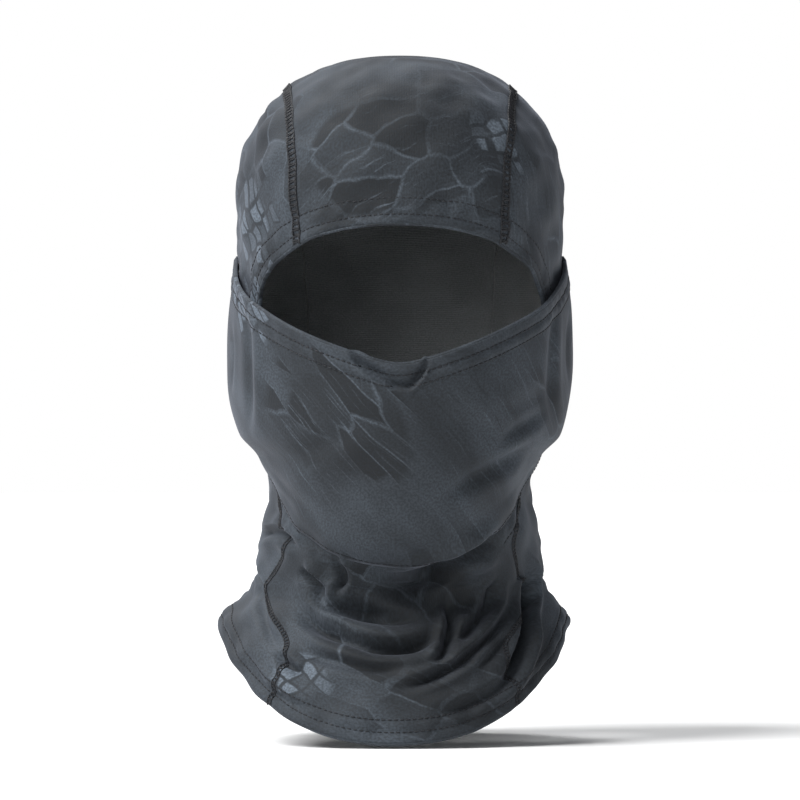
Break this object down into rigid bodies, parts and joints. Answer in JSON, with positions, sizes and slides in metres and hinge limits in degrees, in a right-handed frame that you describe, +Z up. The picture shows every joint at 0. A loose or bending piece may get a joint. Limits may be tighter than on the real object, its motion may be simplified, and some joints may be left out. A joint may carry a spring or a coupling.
{
  "type": "balaclava",
  "caption": "Close stretch-knit head covering as worn: four-panel hood with a flared neck, and a face mask sewn over its face opening that pulls down off the nose.",
  "frame": {"origin": "middle of the wearer's head, on the line between the ears", "axes": "+Z up towards the crown, the face looks along -Y, +X is the wearer's left"},
  "size_m": [0.1746, 0.2132, 0.339],
  "materials": {
    "printed_knit": "fine stretch knit with a grey scale print, brushed, slight sheen",
    "brushed_inside": "plain dark grey brushed inner face of the same knit",
    "black_thread": "black polyester sewing thread"
  },
  "bodies": {
    "hood": {"crown_panel": "printed_knit", "left_side_panel": "printed_knit", "right_side_panel": "printed_knit", "neck_front_panel": "printed_knit", "mask_panel": "printed_knit", "face_opening_hem": "brushed_inside", "neck_hem": "brushed_inside", "left_crown_seam": "black_thread", "right_crown_seam": "black_thread", "left_neck_seam": "black_thread", "right_neck_seam": "black_thread", "chin_seam": "black_thread", "left_ear_seam": "black_thread", "right_ear_seam": "black_thread", "face_hem_outer_stitching": "black_thread", "face_hem_inner_stitching": "black_thread", "neck_hem_outer_stitching": "black_thread", "neck_hem_inner_stitching": "black_thread"},
    "mask_rim": {"mask_top_hem": "brushed_inside", "mask_hem_outer_stitching": "black_thread", "mask_hem_inner_stitching": "black_thread"}
  },
  "joints": [
    {"name": "mask_pull_down", "type": "hinge", "parent": "hood", "child": "mask_rim", "pos_m": [0, 0.0045, -0.042], "axis": [1, 0, 0], "range_deg": [0, 35], "deforming": ["mask_panel"]}
  ]
}
